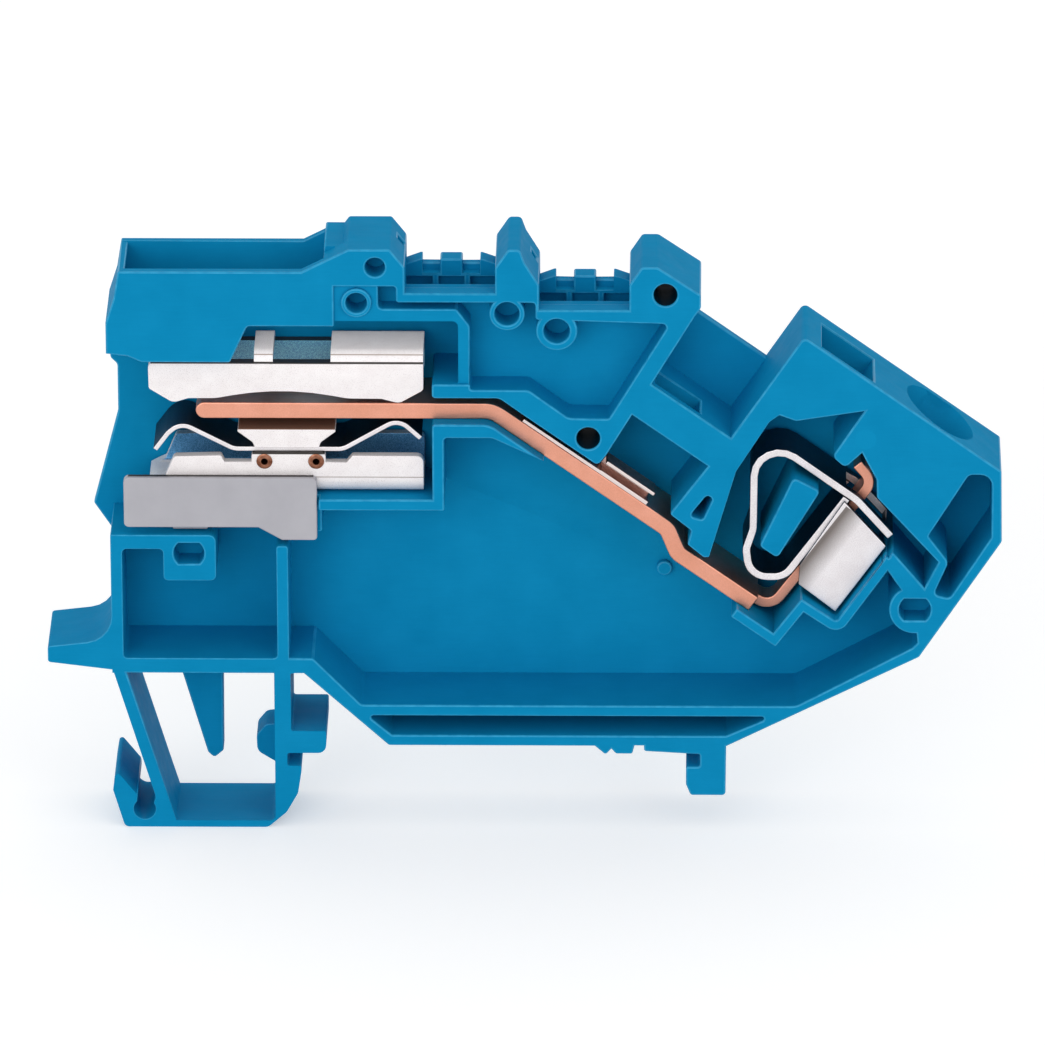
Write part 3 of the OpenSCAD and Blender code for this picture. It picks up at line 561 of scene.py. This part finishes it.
class Recipe:
    """A geometry node group under construction."""

    def __init__(self, name, **inputs):
        self.group = bpy.data.node_groups.new(name, "GeometryNodeTree")
        self.keys = {}
        for label, kind in inputs.items():
            socket = self.group.interface.new_socket(label.replace("_", " "), in_out="INPUT",
                                                     socket_type="NodeSocket" + kind)
            self.keys[label] = socket.identifier
        self.group.interface.new_socket("Geometry", in_out="OUTPUT", socket_type="NodeSocketGeometry")
        self.given = self.group.nodes.new("NodeGroupInput").outputs

    def add(self, kind, inputs=None, **attributes):
        return new_node(self.group, "GeometryNode" + kind, inputs, **attributes).outputs[0]

    def math(self, operation, first, second):
        return new_node(self.group, "ShaderNodeMath", {0: first, 1: second}, operation=operation).outputs[0]

    def mean(self, first, second):
        return self.math("MULTIPLY", self.math("ADD", first, second), 0.5)

    def point(self, **parts):
        """A vector with these parts, named X, Y or Z."""
        return new_node(self.group, "ShaderNodeCombineXYZ", parts).outputs[0]

    def ring(self, radius, profile):
        """A profile led round a circle."""
        path = self.add("CurvePrimitiveCircle", {"Resolution": TURNED_SIDES, "Radius": radius})
        return self.add("CurveToMesh", {"Curve": self.add("SetCurveNormal", {"Curve": path}, mode="Z_UP"),
                                        "Profile Curve": profile})

    def join(self, *parts):
        node = new_node(self.group, "GeometryNodeJoinGeometry")
        for part in parts:
            self.group.links.new(part, node.inputs[0])
        return node.outputs[0]

    def end(self, geometry):
        self.group.links.new(geometry, self.group.nodes.new("NodeGroupOutput").inputs[0])


def rolled_rivet():
    """The recipe of a rivet: a tube with a rolled rim at its front end."""
    r = Recipe("rolled_rivet", Head_radius="Float", Tube_radius="Float", Bore_radius="Float", Length="Float",
               Head_height="Float", Centre="Vector", Finish="Material")
    head, tube, bore, length, height, centre, finish = list(r.given)[:7]
    half_width = r.math("MULTIPLY", r.math("SUBTRACT", head, bore), 0.5)
    half_height = r.math("MULTIPLY", height, 0.5)
    circle = r.add("CurvePrimitiveCircle", {"Resolution": ROLL_SIDES, "Radius": 1})
    roll = r.add("Transform", {"Geometry": circle, "Scale": r.point(X=half_width, Y=half_height)})
    wall = r.add("CurvePrimitiveQuadrilateral", {"Width": r.math("SUBTRACT", tube, bore), "Height": length})
    front = r.math("SUBTRACT", r.math("MULTIPLY", length, 0.5), half_height)
    rim = r.add("Transform", {"Geometry": r.ring(r.mean(head, bore), roll), "Translation": r.point(Z=front)})
    both = r.join(rim, r.ring(r.mean(tube, bore), wall))
    turned = r.add("Transform", {"Geometry": both, "Rotation": (math.pi / 2, 0, 0), "Translation": centre})
    whole = r.add("RealizeInstances", {"Geometry": turned})
    r.end(r.add("SetMaterial", {"Geometry": whole, "Material": finish}))
    return r


def rivet(node, recipe, material):
    """A rivet of the node's own size, as the recipe makes it."""
    points = np.array([v.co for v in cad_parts[node].data.vertices])
    low, high = points.min(0), points.max(0)
    middle = (low + high) / 2
    radii = np.hypot(points[:, 0] - middle[0], points[:, 2] - middle[2])
    behind = points[:, 1] > middle[1]
    sizes = {"Head_radius": radii.max(), "Tube_radius": radii[behind].max(), "Bore_radius": radii.min(),
             "Length": high[1] - low[1], "Head_height": ROLL_HEIGHT}
    holder = placed(node + "_recipe", bpy.data.meshes.new(node + "_recipe"))
    steps = holder.modifiers.new("rivet", "NODES")
    steps.node_group = recipe.group
    for label, size in sizes.items():
        steps[recipe.keys[label]] = float(size)
    steps[recipe.keys["Centre"]] = [float(v) for v in middle]
    steps[recipe.keys["Finish"]] = material
    holder.update_tag()
    mesh = bpy.data.meshes.new_from_object(holder.evaluated_get(bpy.context.evaluated_depsgraph_get()))
    bpy.data.objects.remove(holder)
    mesh.name = node + "_piece"
    mesh.shade_smooth()
    mesh.set_sharp_from_angle(angle=SHARP)
    dress(placed(node + "_piece", mesh), node)


plate, steel = silver_plate(), spring_steel()
# The housing's rounded edges take the plastic with the painted highlight
softened("housing", blue_polyamide(), width=0.15 * MM, segments=3, edge_material=blue_edge_highlight())
softened("current_bar", bright_copper(), width=0.12 * MM)
softened("clamp_spring", steel, width=0.08 * MM)
softened("jumper_contact", tinned_copper(), width=0.05 * MM)
softened("upper_jaw", plate, width=0.06 * MM)
softened("lower_jaw", plate, width=0.08 * MM)
softened("jaw_spring", steel, width=0.06 * MM)
softened("spring_saddle", plate, width=0.1 * MM)
softened("slide_shoe", grey_plastic(), width=0.12 * MM)
recipe, brown = rolled_rivet(), rivet_copper()
for node in ("left_rivet", "right_rivet"):
    rivet(node, recipe, brown)


# Stage, light and camera

def white_floor(height, half, shade, seen_glow, mirrored_glow):
    """A pale floor that the camera sees as white, apart from the shadow on it."""
    mesh = bpy.data.meshes.new("floor")
    corners = [(-half, -half), (half, -half), (half, half), (-half, half)]
    mesh.from_pydata([(x, y, height) for x, y in corners], [], [range(4)])
    floor = placed("floor", mesh)
    f = Finish("pale_floor", Roughness=0.9, Base_Color=(shade, shade, shade, 1), Emission_Color=(1, 1, 1, 1))
    path = f.add("ShaderNodeLightPath").outputs
    direct = f.math("MULTIPLY", path["Is Camera Ray"], seen_glow)
    mirrored = f.math("MULTIPLY", path["Is Glossy Ray"], mirrored_glow)
    mesh.materials.append(f.finish(Emission_Strength=f.math("MAXIMUM", direct, mirrored)))


def sky(strength):
    """Even light from all round, which the camera and the metal's reflections see as white."""
    world = bpy.data.worlds.new("studio")
    bpy.context.scene.world = world
    world.use_nodes = True
    tree = world.node_tree
    background = tree.nodes["Background"].inputs
    background["Color"].default_value = (1, 1, 1, 1)
    path = new_node(tree, "ShaderNodeLightPath").outputs
    seen = new_node(tree, "ShaderNodeMath", {0: path["Is Camera Ray"], 1: path["Is Glossy Ray"]},
                    operation="MAXIMUM")
    level = new_node(tree, "ShaderNodeMapRange", {"Value": seen.outputs[0], "To Min": strength, "To Max": 1})
    tree.links.new(level.outputs["Result"], background["Strength"])


def softbox(name, place, target, size, watts):
    """A soft lamp of this width and height, turned to its target."""
    data = bpy.data.lights.new(name, "AREA")
    data.shape = "RECTANGLE"
    data.size, data.size_y = size
    data.energy = watts
    lamp = placed(name, data)
    lamp.location = place
    lamp.rotation_euler = (Vector(target) - Vector(place)).to_track_quat("-Z", "Y").to_euler()


def camera(middle, azimuth, elevation, roll, distance, view_width):
    """Looks at the point in the middle of the picture, whose plane is view_width wide."""
    data = bpy.data.cameras.new("camera")
    data.sensor_width = 36
    data.lens = data.sensor_width * distance / view_width
    data.clip_start, data.clip_end = 0.01, 20
    a, e = math.radians(azimuth), math.radians(elevation)
    back = Vector((math.sin(a) * math.cos(e), -math.cos(a) * math.cos(e), math.sin(e)))
    viewer = placed("camera", data)
    viewer.location = Vector(middle) + back * distance
    lean = Quaternion((0, 0, 1), math.radians(roll))
    viewer.rotation_euler = (back.to_track_quat("Z", "Y") @ lean).to_euler()
    bpy.context.scene.camera = viewer


white_floor(cad_box[0].z, half=1.5, shade=0.8, seen_glow=0.34, mirrored_glow=0.12)
sky(strength=0.8)
subject = (0, 0, 0.02)
softbox("key", place=(-0.25, -0.75, 0.27), target=subject, size=(0.5, 0.4), watts=1.7)
softbox("fill", place=(0.5, -0.5, 0.25), target=subject, size=(0.4, 0.4), watts=0.5)
camera((2.553 * MM, -4 * MM, 21.48 * MM), azimuth=1.0, elevation=22.6, roll=-0.2, distance=1.1,
       view_width=88.94 * MM)
bpy.context.scene.view_settings.view_transform = "Standard"
